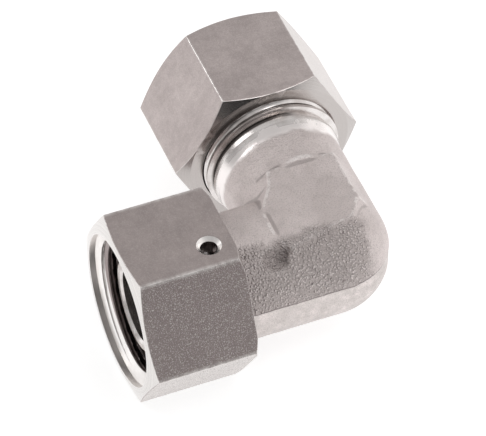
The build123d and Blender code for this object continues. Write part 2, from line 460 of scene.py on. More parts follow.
        # Painted shade along the parting line's step
        colour = net.mix(seam * self.seam_share, colour, self.seam)
        grained = grain * (self.grain_height + above * self.grain_height)
        height = (grained + peel * patch * self.pebble_height) * (1 - machined)
        return {
            "Base Color": net.mix(machined, colour, self.machined),
            "Metallic": 1.0,
            "Roughness": self.satin - machined * self.machined_polish + (cloud - 0.5) * self.satin_range,
            "Normal": net.bump(height, self.grain_depth * MM),
        }


@dataclass(frozen=True)
class TurnedSteel(Finish):
    """Bright turned steel with faint stains and bands of near-black painted shade in its grooves, on one
    side.
    """

    name: str = "turned_steel"
    colour: Colour = (0.80, 0.765, 0.75, 1.0)
    dull: Colour = (0.58, 0.54, 0.52, 1.0)
    # Near-black colour of the painted shade in the grooves
    grime: Colour = (0.06, 0.05, 0.045, 1.0)
    grime_bands: tuple[Spot, ...] = ((26.4, 27.2, 0.9), (27.9, 28.7, 0.75))
    grime_blend: float = 0.1
    grime_side: Span = (5.0, 0.0)
    grime_wander: float = 6.0
    roughness: float = 0.17
    roughness_range: float = 0.1
    stain_scale: float = 0.25
    stain_tones: Span = (0.35, 0.75)
    smear_scale: float = 0.8
    tool_scale: float = 6.0
    tool_depth: float = 0.004

    def surface(self, net: Net) -> dict[str, Source]:
        """Paints the turned metal.

        Args:
            net: The node network.

        Returns:
            Inputs of the shader, by socket name.
        """
        place = net.place()
        x, y, _ = net.split(place)
        stain = net.noise(place, self.stain_scale, 3.0)
        # Painted shade in the undercut and the first thread groove, mainly on the -X side
        lodged = 0.0
        for start, end, share in self.grime_bands:
            rise = y.smooth(start - self.grime_blend, start + self.grime_blend)
            fall = y.smooth(end + self.grime_blend, end - self.grime_blend)
            lodged = rise * fall * share + lodged
        lodged = lodged * (x + (stain - 0.5) * self.grime_wander).smooth(*self.grime_side)
        colour = net.mix(stain.smooth(*self.stain_tones), self.colour, self.dull)
        return {
            "Base Color": net.mix(lodged, colour, self.grime),
            "Metallic": 1.0,
            "Roughness": self.roughness + net.noise(place, self.smear_scale, 2.0) * self.roughness_range,
            "Normal": net.bump(net.noise(place, self.tool_scale, 2.0), self.tool_depth * MM),
        }


@dataclass(frozen=True)
class NutSteel(Finish):
    """Satin hexagon bar: brushed or pickled flats, one flat painted lighter as painted light and the others
    darkened with painted shade where that is set, corners and edges worn bright with a painted highlight,
    turned end faces and painted shade in the bore.
    """

    name: str = "nut_steel_brushed"
    grain: Grain = Grain.BRUSHED
    arm: Arm = Arm.TUBE
    flats: Colour = (0.60, 0.53, 0.515, 1.0)
    darker: Colour = (0.43, 0.375, 0.365, 1.0)
    worn: Colour = (0.88, 0.85, 0.83, 1.0)
    ends: Colour = (0.53, 0.50, 0.485, 1.0)
    polished: Colour = (0.95, 0.92, 0.90, 1.0)
    # Dark colour of the painted shade in the bore, the wire hole and on the darker flats, and of the pits
    bore: Colour = (0.30, 0.255, 0.248, 1.0)
    bore_radius: float = 15.0
    bore_blend: float = 0.3
    bright_mouth: float = 99.0
    mouth_radius: float = 16.3
    mouth_blend: float = 0.1
    mouth_satin: float = 0.3
    wear: float = 0.9
    flat_radius: float = 18.0
    corner_reach: float = 0.4
    corner_edge: float = 0.05
    corner_wear: float = 0.5
    # Direction of the one flat painted lighter as painted light, and how strongly
    bright_flat: Span = (0.866, 0.5)
    bright: float = 0.6
    # Share of painted shade on the flats other than the painted-light one
    dimmed: float = 0.0
    satin: float = 0.42
    end_polish: float = 0.21
    hole_place: Spot | None = None
    hole_radius: float = 2.62
    hole_sink: float = 0.85
    hole_fade: Span = (12.0, 12.5)
    sink_start: Span = (0.005, 0.02)
    sink_blend: float = 0.05
    streak_stretch: float = 0.15
    streak_scale: float = 1.4
    cloud_scale: float = 0.13
    fine_scale: float = 0.6
    pit_scale: float = 4.3
    tones: Span = (0.3, 0.7)
    mottle_shares: Spot = (0.5, 0.3, 0.2)
    pitted_brushed: float = 0.3
    pitted_upper: float = 0.75
    pit_tones: Span = (0.52, 0.36)
    pit_share: float = 0.75
    fleck_tones: Span = (0.53, 0.68)
    fleck_share: float = 0.55
    line_tones: Span = (0.35, 0.65)
    ring_marks: float = 0.22
    ring_height: float = 0.06
    mouth_marks: float = 0.12
    wear_breaks: Span = (0.3, 0.6)
    strip_breaks: Span = (0.25, 0.65)
    corner_shine: float = 0.14
    streak_shine: float = 0.2
    streak_height: float = 0.3
    end_facing: Span = (0.6, 0.8)
    corner_facing: Span = (0.985, 0.93)
    square_facing: Span = (0.3, 0.2)
    chamfer_facing: Span = (0.3, 0.4)
    chamfer_end: Span = (0.75, 0.65)
    chamfer_wear: float = 0.5
    upper_facing: Span = (0.9, 0.97)
    bright_facing: Span = (0.9, 0.98)
    outside_blend: float = 0.2
    line_blend: float = 0.02
    ring_stretch: Spot = (5.0, 0.4, 0.0)
    grain_depth: float = 0.1

    def worked(self, along: Signal, across: Signal, upward: Signal) -> tuple[Signal, Signal]:
        """Where the metal is turned, and where corners and edges are worn bright and painted with a
        highlight.

        Args:
            along: Part of the surface's direction along the arm.
            across: Part of it across the arm, level.
            upward: Part of it across the arm, upward.

        Returns:
            Shares of turned metal and of worn metal with painted highlight.
        """
        flat = abs(upward)
        for side in (SIDE_RISE, -SIDE_RISE):
            flat = flat.larger(abs(upward * SIDE_HALF + across * side))
        corner = flat.smooth(*self.corner_facing) * abs(along).smooth(*self.square_facing)
        edge = abs(along).smooth(*self.chamfer_facing) * abs(along).smooth(*self.chamfer_end)
        return abs(along).smooth(*self.end_facing), corner.larger(edge * self.chamfer_wear)

    def beside_corners(self, across: Signal, upward: Signal) -> Signal:
        """Where the strips beside the hexagon's corners lie, worn and painted with highlight.

        Args:
            across: Place across the arm, level, in millimetres.
            upward: Place across the arm, upward.

        Returns:
            Share of the strips.
        """
        first = abs(upward)
        second = abs(upward * SIDE_HALF + across * SIDE_RISE)
        third = abs(upward * SIDE_HALF - across * SIDE_RISE)
        nearest = first.smaller(second).larger(second.smaller(third)).larger(first.smaller(third))
        return nearest.smooth(self.flat_radius - self.corner_reach, self.flat_radius - self.corner_edge)

    def hole(self, net: Net, x: Signal, y: Signal, z: Signal) -> tuple[Signal, Signal]:
        """Where the wire hole's bright countersink is, and where its inside is painted with shade.

        Args:
            net: The node network.
            x: Place on the piece, in millimetres.
            y: The same, for the second axis.
            z: The same, for the third.

        Returns:
            Shares of countersink and of the inside's painted shade.
        """
        off_x, off_y = x - self.hole_place[0], y - self.hole_place[1]
        reach = net.maths("SQRT", off_x * off_x + off_y * off_y)
        near = reach.smooth(self.hole_radius + self.line_blend, self.hole_radius)
        below = self.hole_place[2] - z
        deep = below.smooth(self.hole_sink - self.sink_blend, self.hole_sink + self.sink_blend)
        sink = near * below.smooth(*self.sink_start) * (1 - deep)
        return sink, near * deep * z.smooth(*self.hole_fade)

    def openings(self, net: Net, place: Signal, along: Signal, radius: Signal) -> tuple[Signal, Signal]:
        """Where the nut's openings are polished, and where painted shade darkens them inside.

        Args:
            net: The node network.
            place: Place on the piece, in millimetres.
            along: Place along the arm.
            radius: Distance from the arm's axis.

        Returns:
            Shares of polished metal and of painted shade in the bore.
        """
        mouth = along.smooth(self.bright_mouth - self.mouth_blend, self.bright_mouth + self.mouth_blend)
        inside = radius.smooth(self.bore_radius + self.bore_blend, self.bore_radius) * (1 - mouth)
        edge = (self.mouth_radius + self.line_blend, self.mouth_radius - self.line_blend)
        mouth = mouth * radius.smooth(*edge)
        if self.hole_place is None:
            return mouth, inside
        sink, inner = self.hole(net, *net.split(place))
        return mouth.larger(sink), inside.larger(inner)

    def flat_colour(self, net: Net, mottle: Signal, pits: Signal, pitted: Source, brighter: Signal) -> Signal:
        """Colour of the flats.

        Args:
            net: The node network.
            mottle: Share of the lighter of the two steel colours.
            pits: Fine noise of the pickled grain.
            pitted: How strongly a flat is pitted.
            brighter: Share of the one flat painted lighter, as painted light.

        Returns:
            The colour, with pits and specks, painted light on one flat and painted shade on the others.
        """
        colour = net.mix(mottle, self.darker, self.flats)
        colour = net.mix(brighter * self.bright, colour, self.worn)
        # Painted shade on the other flats, strongest where they are pitted
        colour = net.mix((1 - brighter) * pitted * self.dimmed, colour, self.bore)
        colour = net.mix(pits.smooth(*self.pit_tones) * pitted * self.pit_share, colour, self.bore)
        return net.mix(pits.smooth(*self.fleck_tones) * pitted * self.fleck_share, colour, self.worn)

    def surface(self, net: Net) -> dict[str, Source]:
        """Paints the nut.

        Args:
            net: The node network.

        Returns:
            Inputs of the shader, by socket name.
        """
        on_tube = self.arm is Arm.TUBE
        place = net.place()
        x, y, z = net.split(place)
        across, along = (x, y) if on_tube else (y, x * -1)
        face_x, face_y, upward = net.facing()
        level, axial = (face_x, face_y) if on_tube else (face_y, face_x)
        end, worn = self.worked(axial, level, upward)
        radius = net.maths("SQRT", across * across + z * z)
        mouth, inside = self.openings(net, place, along, radius)
        outside = radius.smooth(self.mouth_radius, self.mouth_radius + self.outside_blend)
        worn = worn * outside * self.wear
        narrow = self.streak_stretch
        stretch = (narrow, 1.0, narrow) if on_tube else (1.0, narrow, narrow)
        streaks = net.noise(net.vector("MULTIPLY", place, stretch), self.streak_scale, 4.0, 0.6)
        cloud = net.noise(place, self.cloud_scale, 4.0, 0.6)
        fine_cloud = net.noise(place, self.fine_scale, 3.0, 0.6)
        pits = net.noise(place, self.pit_scale, 2.0, 0.6)
        smoother = upward.smooth(*self.upper_facing) * self.pitted_upper
        pitted = self.pitted_brushed if self.grain is Grain.BRUSHED else 1 - smoother
        rings = net.noise(net.vector("MULTIPLY", net.join(radius, along, 0.0), self.ring_stretch), 1.0, 2.0)
        layers = zip((cloud, fine_cloud, streaks), self.mottle_shares)
        mottle = sum(layer.smooth(*self.tones) * share for layer, share in layers)
        # Painted light: the flat facing this direction is painted lighter
        towards = level * self.bright_flat[0] + upward * self.bright_flat[1]
        brighter = towards.smooth(*self.bright_facing)
        colour = self.flat_colour(net, mottle, pits, pitted, brighter)
        ringed = net.mix(rings.smooth(*self.line_tones) * self.ring_marks, self.ends, self.darker)
        colour = net.mix(end, colour, ringed)
        # Corners and chamfer edges worn bright, with a painted highlight
        colour = net.mix(worn * fine_cloud.smooth(*self.wear_breaks), colour, self.worn)
        strips = self.beside_corners(across, z) * outside * (1 - end)
        strips = strips * fine_cloud.smooth(*self.strip_breaks)
        # Strips beside the corners, worn and painted with highlight
        colour = net.mix(strips * self.corner_wear, colour, self.worn)
        # Painted shade inside the bore and the wire hole
        colour = net.mix(inside, colour, self.bore)
        height = (streaks * self.streak_height + pits * pitted) * (1 - end)
        height = height + rings * end * self.ring_height
        satin = self.satin - end * self.end_polish - worn * self.corner_shine
        satin = satin + (streaks - 0.5) * self.streak_shine * (1 - end)
        polished = net.mix(streaks.smooth(*self.line_tones) * self.mouth_marks, self.polished, self.darker)
        return {
            "Base Color": net.mix(mouth, colour, polished),
            "Metallic": 1.0,
            "Roughness": satin * (1 - mouth) + mouth * self.mouth_satin,
            "Normal": net.bump(height * (1 - mouth), self.grain_depth * MM),
        }


@dataclass(frozen=True)
class DrawnWire(Finish):
    """Smooth drawn wire with faint marks along it."""

    name: str = "drawn_wire"
    darker: Colour = (0.50, 0.50, 0.50, 1.0)
    lighter: Colour = (0.70, 0.70, 0.70, 1.0)
    mark_scale: float = 1.5
    mark_depth: float = 0.01
    roughness: Span = (0.22, 0.37)

    def surface(self, net: Net) -> dict[str, Source]:
        """Paints the wire.

        Args:
            net: The node network.

        Returns:
            Inputs of the shader, by socket name.
        """
        marks = net.noise(net.place(), self.mark_scale)
        smoothest, roughest = self.roughness
        return {
            "Base Color": net.mix(marks, self.darker, self.lighter),
            "Metallic": 1.0,
            "Roughness": smoothest + marks * (roughest - smoothest),
            "Normal": net.bump(marks, self.mark_depth * MM),
        }


@dataclass(frozen=True)
class SealRubber(Finish):
    """Matte black nitrile with a faint bloom."""

    name: str = "seal_rubber_black"
    black: Colour = (0.012, 0.012, 0.013, 1.0)
    bloomed: Colour = (0.035, 0.035, 0.036, 1.0)
    bloom_scale: float = 0.5
    skin_scale: float = 8.0
    skin_depth: float = 0.006
    roughness: Span = (0.5, 0.7)

    def surface(self, net: Net) -> dict[str, Source]:
        """Paints the rubber.

        Args:
            net: The node network.

        Returns:
            Inputs of the shader, by socket name.
        """
        place = net.place()
        bloom = net.noise(place, self.bloom_scale)
        smoothest, roughest = self.roughness
        return {
            "Base Color": net.mix(bloom, self.black, self.bloomed),
            "Roughness": smoothest + bloom * (roughest - smoothest),
            "Normal": net.bump(net.noise(place, self.skin_scale, 2.0), self.skin_depth * MM),
        }


@dataclass(frozen=True)
class PaleFloor(Finish):
    """White studio floor: pure white to the camera, pale in the metal, and still shaded below the part."""

    name: str = "pale_floor"
    paint: Colour = (0.50, 0.50, 0.50, 1.0)
    glow: Colour = (0.74, 0.74, 0.74, 1.0)
    mirrored: Colour = (0.80, 0.80, 0.80, 1.0)
    dark: Colour = (0.0, 0.0, 0.0, 1.0)
    roughness: float = 0.9

    def surface(self, net: Net) -> dict[str, Source]:
        """Paints the floor.

        Args:
            net: The node network.

        Returns:
            Inputs of the shader, by socket name.
        """
        path = net.node("ShaderNodeLightPath")
        seen = Signal(net, path.outputs["Is Camera Ray"])
        glossy = Signal(net, path.outputs["Is Glossy Ray"])
        mirrored = glossy.larger(Signal(net, path.outputs["Is Transmission Ray"]))
        return {
            "Base Color": self.paint,
            "Roughness": self.roughness,
            "Emission Color": net.mix(seen, net.mix(mirrored, self.dark, self.mirrored), self.glow),
            "Emission Strength": 1.0,
        }


def linked(name: str, data: bpy.types.ID) -> bpy.types.Object:
    """Makes an object of new data and links it to the scene.

    Args:
        name: The object's name.
        data: Its mesh, camera or lamp.

    Returns:
        The object.
    """
    made = bpy.data.objects.new(name, data)
    bpy.context.scene.collection.objects.link(made)
    return made


def cad_copy(name: str, node: str) -> bpy.types.Object:
    """Copies a CAD node's mesh, with its doubled corner points joined.

    Args:
        name: The copy's name.
        node: The CAD node.

    Returns:
        The copy, without a material.
    """
    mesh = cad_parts[node].data.copy()
    mesh.materials.clear()
    own_normals = mesh.attributes.get("custom_normal")
    if own_normals:
        mesh.attributes.remove(own_normals)
    shape = bmesh.new()
    shape.from_mesh(mesh)
    bmesh.ops.remove_doubles(shape, verts=shape.verts, dist=JOIN_GAP)
    shape.to_mesh(mesh)
    shape.free()
    return linked(name, mesh)


def settle(made: bpy.types.Object) -> None:
    """Replaces an object's mesh by what its modifiers make of it, and drops them.

    Args:
        made: The object.
    """
    graph = bpy.context.evaluated_depsgraph_get()
    mesh = bpy.data.meshes.new_from_object(made.evaluated_get(graph))
    made.modifiers.clear()
    made.data = mesh


def shade(made: bpy.types.Object, angle: float) -> None:
    """Smooths an object's faces and keeps the edges sharper than an angle in degrees."""
    made.data.polygons.foreach_set("use_smooth", [True] * len(made.data.polygons))
    made.data.set_sharp_from_angle(angle=math.radians(angle))


def cut(made: bpy.types.Object, cutter: bpy.types.Object) -> None:
    """Cuts a closed object out of another and deletes the cutter.

    Args:
        made: The object to cut.
        cutter: The closed object to cut with.
    """
    step = made.modifiers.new("cut", "BOOLEAN")
    step.operation = "DIFFERENCE"
    step.solver = "EXACT"
    step.object = cutter
    settle(made)
    bpy.data.objects.remove(cutter)


def dress(made: bpy.types.Object, finish: Finish, body: str) -> bpy.types.Object:
    """Gives a piece its finish and the body it moves with.

    Args:
        made: The piece.
        finish: Its finish.
        body: The body it rides on.

    Returns:
        The piece.
    """
    made.data.materials.clear()
    made.data.materials.append(finish.material())
    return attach(made, body)


class Ends(Enum):
    """What closes a turned form: its last ring joined to the first, or a flat face at either end."""

    LOOPED = "looped"
    CAPPED = "capped"


def turned(
    name: str,
    rings: Sequence[Ring],
    turns: Sequence[float],
    place: Matrix,
    ends: Ends = Ends.LOOPED,
) -> bpy.types.Object:
    """Turns a chain of rings about the Y axis.

    Args:
        name: The object's name.
        rings: One function for each ring, from the share of a turn to radius and place along the axis.
        turns: The shares of a turn at which the rings are cut.
        place: Matrix that brings the form from the Y axis to its own axis.
        ends: How the chain is closed.

    Returns:
        The new object, a closed solid.
    """
    shape = bmesh.new()
    loops = []
    for ring in rings:
        loop = []
        for turn in turns:
            radius, along = ring(turn)
            angle = 2 * math.pi * turn
            point = Vector((radius * math.cos(angle), along, -radius * math.sin(angle)))
            loop.append(shape.verts.new(point * MM))
        loops.append(loop)
    pairs = list(zip(loops, loops[1:]))
    if ends is Ends.LOOPED:
        pairs.append((loops[-1], loops[0]))
    else:
        shape.faces.new(loops[0])
        shape.faces.new(loops[-1][::-1])
    for low, high in pairs:
        for step, corner in enumerate(low):
            after = (step + 1) % len(low)
            shape.faces.new((corner, high[step], high[after], low[after]))
    bmesh.ops.recalc_face_normals(shape, faces=shape.faces)
    bmesh.ops.transform(shape, matrix=place, verts=shape.verts)
    mesh = bpy.data.meshes.new(name)
    shape.to_mesh(mesh)
    shape.free()
    return linked(name, mesh)


def plain(profile: Profile) -> list[Ring]:
    """Round rings at the radius and place along the axis of each point of a profile."""
    return [lambda turn, point=point: point for point in profile]


def fine(start: Span, end: Span, step: float = 0.09) -> list[Span]:
    """Points along a profile's straight stretch, close enough to carry a thread.

    Args:
        start: Radius and place along the axis of the first point.
        end: The same, of the last.
        step: About how far apart the points lie.

    Returns:
        The points, both ends among them.
    """
    count = max(1, round(math.dist(start, end) / step))
    shares = [index / count for index in range(count + 1)]
    return [(start[0] + (end[0] - start[0]) * s, start[1] + (end[1] - start[1]) * s) for s in shares]


def even_turns(count: int) -> list[float]:
    """Even shares of a turn."""
    return [index / count for index in range(count)]


@dataclass(frozen=True)
class Thread:
    """Metric thread form that body and nuts share."""

    pitch: float = 2.0
    major: float = 15.0
    minor: float = 13.92
    slope: float = math.sqrt(3)
    crest: float = 0.125
    root_depth: float = 0.15
    play: float = 0.05
    crest_play: float = 0.03

    def offset(self, along: float, turn: float, phase: float) -> float:
        """Distance along the arm to the nearest crest of a right-hand thread."""
        share = (along / self.pitch - turn + phase) % 1.0
        return min(share, 1 - share) * self.pitch

    def ridge(self, along: float, turn: float, phase: float) -> float:
        """Radius of an outer thread."""
        fall = max(0.0, self.offset(along, turn, phase) - self.crest)
        return max(self.minor - self.root_depth, self.major - fall * self.slope)

    def groove(self, along: float, turn: float, phase: float) -> float:
        """Radius of an inner thread, a little wider than the outer one."""
        fall = max(0.0, self.offset(along, turn, phase) - self.crest - self.crest_play)
        return max(self.minor, self.major + self.play - fall * self.slope)

    def grooved(self, profile: Profile, phase: float) -> list[Ring]:
        """Cuts the inner thread into a bore's profile.

        Args:
            profile: Radius and place along the arm of each point.
            phase: Turn of the thread at the crossing of the arms.

        Returns:
            The bore's rings.
        """
        return [
            lambda turn, radius=radius, along=along: (max(radius, self.groove(along, turn, phase)), along)
            for radius, along in profile
        ]


@dataclass(frozen=True)
class HexagonBar:
    """Hexagon bar between two chamfered end faces, with its corners and edges slightly rounded."""

    near: float
    far: float
    near_face: float
    far_face: float
    near_angle: float = 30.0
    far_angle: float = 30.0
    flat_radius: float = 18.0
    corner_round: float = 0.24
    edge: float = 0.1
    rim_share: float = 1.4
    flat_steps: int = 24
    corner_steps: int = 4

    def side_angles(self) -> list[float]:
        """Angles of one side's columns from the middle of its flat.

        Returns:
            The angles, in radians.
        """
        half = math.tan(HALF_SIDE) * (self.flat_radius - self.corner_round)
        shares = [2 * step / self.flat_steps - 1 for step in range(self.flat_steps + 1)]
        flat = [math.atan(half * share / self.flat_radius) for share in shares]
        gap = HALF_SIDE - flat[-1]
        before = [flat[0] - gap * (1 - step / self.corner_steps) for step in range(self.corner_steps)]
        after = [flat[-1] + gap * step / self.corner_steps for step in range(1, self.corner_steps)]
        return before + flat + after

    def turns(self) -> list[float]:
        """Shares of a turn of all the columns, dense at the corners; flats face up and down."""
        centres = [HALF_SIDE * (1 + 2 * side) for side in range(6)]
        return [(centre + angle) / (2 * math.pi) for centre in centres for angle in self.side_angles()]

    def reach(self, turn: float) -> float:
        """Radius of the rounded hexagon.

        Args:
            turn: Share of a turn.

        Returns:
            The radius.
        """
        angle = (360 * turn) % 60 - 30
        away = math.radians(abs(angle))
        half = math.tan(HALF_SIDE) * (self.flat_radius - self.corner_round)
        if away <= math.atan(half / self.flat_radius):
            return self.flat_radius / math.cos(away)
        centre = (self.flat_radius - self.corner_round) / SIDE_RISE
        from_corner = HALF_SIDE - away
        side = centre * math.sin(from_corner)
        return centre * math.cos(from_corner) + math.sqrt(self.corner_round ** 2 - side ** 2)

    def end(self, face: float, angle: float, at: float, way: int) -> list[Ring]:
        """Rings of one end, from its face out to the flats.

        Args:
            face: Radius of the flat end face.
            angle: Angle of the chamfer from that face, in degrees.
            at: Place of the face along the arm.
            way: Which way the bar goes from there, 1 or -1.

        Returns:
            The rim of the face, the chamfer's outer line and the start of the flats.
        """
        slope = math.tan(math.radians(angle))

        def chamfer(turn: float) -> Span:
            """Point on the chamfer just inside its outer line."""
            radius = self.reach(turn) - self.edge
            return radius, at + way * max(0.0, radius - face) * slope

        def rim(turn: float) -> Span:
            """Point on the rim of the end face."""
            return min(face, self.reach(turn) - self.rim_share * self.edge), at

        def flat(turn: float) -> Span:
            """Point on the flats just past the chamfer."""
            radius = self.reach(turn)
            return radius, at + way * (max(0.0, radius - face) * slope + self.edge)

        return [rim, chamfer, flat]

    def outside(self) -> list[Ring]:
        """Rings of the whole outside.

        Returns:
            The rings, from the near face's rim to the far face's.
        """
        near = self.end(self.near_face, self.near_angle, self.near, 1)
        far = self.end(self.far_face, self.far_angle, self.far, -1)
        return near + far[::-1]


@dataclass
class ElbowBody:
    """The one-piece body: a softened forging skin, the machined ends, and the tube arm's thread."""

    thread: Thread = field(default_factory=Thread)
    forging_end: float = 22.5
    skin_end: float = 24.6
    tube_overlap: float = 0.6
    swivel_overlap: float = 0.3
    swivel_trim: float = 0.1
    bore_overlap: float = 1.0
    voxel: float = 0.3
    soften_steps: int = 5
    soften_share: float = 0.5
    bend_steps: int = 2
    bore_reach: float = 9.5
    waviness: float = 0.05
    small_wave: float = 2.2
    small_share: float = 0.4
    large_wave: float = 6.0
    trim_top: float = 2.3
    trim_reach: float = 6.0
    trim_depth: float = 0.12
    trim_side: float = 6.0
    dent_place: Spot = (-12.2, -7.8, 10.95)
    dent_slant: float = 0.396
    dent_depth: float = 0.6
    dent_reach: float = 3.2
    dent_side: float = 0.5
    thread_phase: float = 0.8
    crest_foot: float = 13.6
    crest_start: float = 27.1
    crest_full: float = 27.5
    groove_start: float = 27.7
    groove_full: float = 30.0
    arm_end: float = 37.0
    end_radius: float = 13.2
    sleeve_radius: float = 13.3
    sleeve_sink: float = 0.05
    sleeve_gap: float = 0.02
    sleeve_step: float = 0.08
    sleeve_turns: int = 192
    ends_smooth: float = 11.0
    thread_smooth: float = 35.0

    def skin(self) -> bpy.types.Object:
        """Builds the forging skin: the CAD body remeshed evenly, softened, and trimmed to its outside.

        Returns:
            The skin.
        """
        made = cad_copy("forged_skin", "elbow_body")
        remesh = made.modifiers.new("even", "REMESH")
        remesh.mode = "VOXEL"
        remesh.voxel_size = self.voxel * MM
        soften = made.modifiers.new("soften", "SMOOTH")
        soften.factor = self.soften_share
        soften.iterations = self.soften_steps
        settle(made)
        self.trim(made.data, self.outside_skin)
        self.mark_bends(made.data)
        places = [point.co.copy() for point in made.data.vertices]
        normals = [point.normal.copy() for point in made.data.vertices]
        waved = [place + normal * self.wave(place) * MM for place, normal in zip(places, normals)]
        made.data.vertices.foreach_set("co", [number for place in waved for number in place])
        shade(made, ALL_SMOOTH)
        return made

    def mark_bends(self, mesh: bpy.types.Mesh) -> None:
        """Stores how hollow or raised the skin is at each point, in millimetres, for the painted crease shade
        and edge highlight of its finish.

        Args:
            mesh: The skin's mesh.
        """
        shape = bmesh.new()
        shape.from_mesh(mesh)
        bends = []
        for point in shape.verts:
            around = [edge.other_vert(point).co for edge in point.link_edges]
            middle = sum(around, Vector()) / max(1, len(around))
            bends.append((middle - point.co).dot(point.normal) / MM)
        beside = [[edge.other_vert(point).index for edge in point.link_edges] for point in shape.verts]
        for _ in range(self.bend_steps):
            bends = [
                (bend + sum(bends[index] for index in near)) / (1 + len(near))
                for bend, near in zip(bends, beside)
            ]
        shape.free()
        mesh.attributes.new(BEND, "FLOAT", "POINT").data.foreach_set("value", bends)

    def wave(self, place: Vector) -> float:
        """Height of the forging's slight unevenness.

        Args:
            place: Place in metres.

        Returns:
            The height, in millimetres.
        """
        small = noise.noise(place / (self.small_wave * MM)) * self.small_share
        rough = small + noise.noise(place / (self.large_wave * MM))
        below = (self.trim_top - place.z / MM) / self.trim_reach
        outer = place.y < -self.trim_side * MM or place.x > self.trim_side * MM
        trimmed = self.trim_depth * (1 - below) if outer and 0 < below < 1 else 0.0
        return rough * self.waviness - trimmed - self.dent(place / MM)

    def dent(self, place: Vector) -> float:
        """Depth of the forging's one-sided dent.

        Args:
            place: Place in millimetres.

        Returns:
            The depth, in millimetres.
        """
        away = place - Vector(self.dent_place)
        beside = away.x - away.y * self.dent_slant
        fade = max(0.0, 1 - away.length / self.dent_reach)
        return self.dent_depth * fade if beside < self.dent_side else 0.0

    def outside_skin(self, centre: Vector) -> bool:
        """Whether a place is past the forging's ends or inside its bores.

        Args:
            centre: Face centre, in millimetres.

        Returns:
            True where the skin has no face.
        """
        past = centre.y > self.skin_end or -centre.x > self.forging_end - self.swivel_trim
        tube_bore = centre.y > -self.bore_overlap and Arm.TUBE.across(centre) < self.bore_reach
        swivel_bore = centre.x < self.bore_overlap and Arm.SWIVEL.across(centre) < self.bore_reach
        return past or tube_bore or swivel_bore or centre.length < self.bore_reach

    def inside_skin(self, centre: Vector) -> bool:
        """Whether a place lies on the forging's outside, which the skin shows.

        Args:
            centre: Face centre, in millimetres.

        Returns:
            True where the machined ends have no face.
        """
        on_tube = centre.y < self.skin_end - self.tube_overlap
        on_swivel = -centre.x < self.forging_end - self.swivel_overlap
        return on_tube and on_swivel and not self.outside_skin(centre)

    @staticmethod
    def trim(mesh: bpy.types.Mesh, unwanted: Callable[[Vector], bool]) -> None:
        """Deletes the faces that a test says are unwanted.

        Args:
            mesh: The mesh.
            unwanted: The test, given a face's centre in millimetres.
        """
        shape = bmesh.new()
        shape.from_mesh(mesh)
        gone = [face for face in shape.faces if unwanted(face.calc_center_median() / MM)]
        bmesh.ops.delete(shape, geom=gone, context="FACES")
        shape.to_mesh(mesh)
        shape.free()

    def ends(self) -> bpy.types.Object:
        """Builds the machined ends and bores, as in the CAD body.

        Returns:
            The ends.
        """
        made = cad_copy("machined_ends", "elbow_body")
        self.trim(made.data, self.inside_skin)
        shade(made, self.ends_smooth)
        return made

    def crest(self, along: float, turn: float) -> float:
        """Radius of the thread sleeve's outside, with the run-out at the undercut and the chamfer at the end.

        Args:
            along: Place along the arm.
            turn: Share of a turn.

        Returns:
            The radius.
        """
        rise = min(1.0, max(0.0, (along - self.groove_start) / (self.groove_full - self.groove_start)))
        cut_depth = (self.thread.major - self.thread.ridge(along, turn, self.thread_phase)) * rise
        slope = (self.thread.major - self.crest_foot) / (self.crest_full - self.crest_start)
        start = self.crest_foot + (along - self.crest_start) * slope
        chamfer = self.end_radius + (self.arm_end - along)
        return max(self.sleeve_radius, min(self.thread.major - cut_depth, start, chamfer))

    def thread_sleeve(self) -> bpy.types.Object:
        """Builds the tube arm's thread, which stands out of the body's plain pitch cylinder.

        Returns:
            The thread.
        """
        start, end = self.crest_start, self.arm_end - self.sleeve_gap
        outside = [
            lambda turn, along=along: (self.crest(along, turn), along)
            for _, along in fine((0.0, start), (0.0, end), self.sleeve_step)
        ]
        sunk = self.sleeve_radius - self.sleeve_sink
        rings = outside + plain([(sunk, end), (sunk, start)])
        made = turned("tube_thread", rings, even_turns(self.sleeve_turns), Arm.TUBE.place())
        shade(made, self.thread_smooth)
        return made

    def build(self) -> list[bpy.types.Object]:
        """Builds the body's pieces and sets them in place of the CAD body.

        Returns:
            The pieces.
        """
        skin = dress(self.skin(), ForgedSteel(), "elbow")
        ends = dress(self.ends(), TurnedSteel(), "elbow")
        sleeve = dress(self.thread_sleeve(), TurnedSteel(), "elbow")
        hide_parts("elbow_body")
        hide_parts("elbow_body")
        return [skin, ends, sleeve]


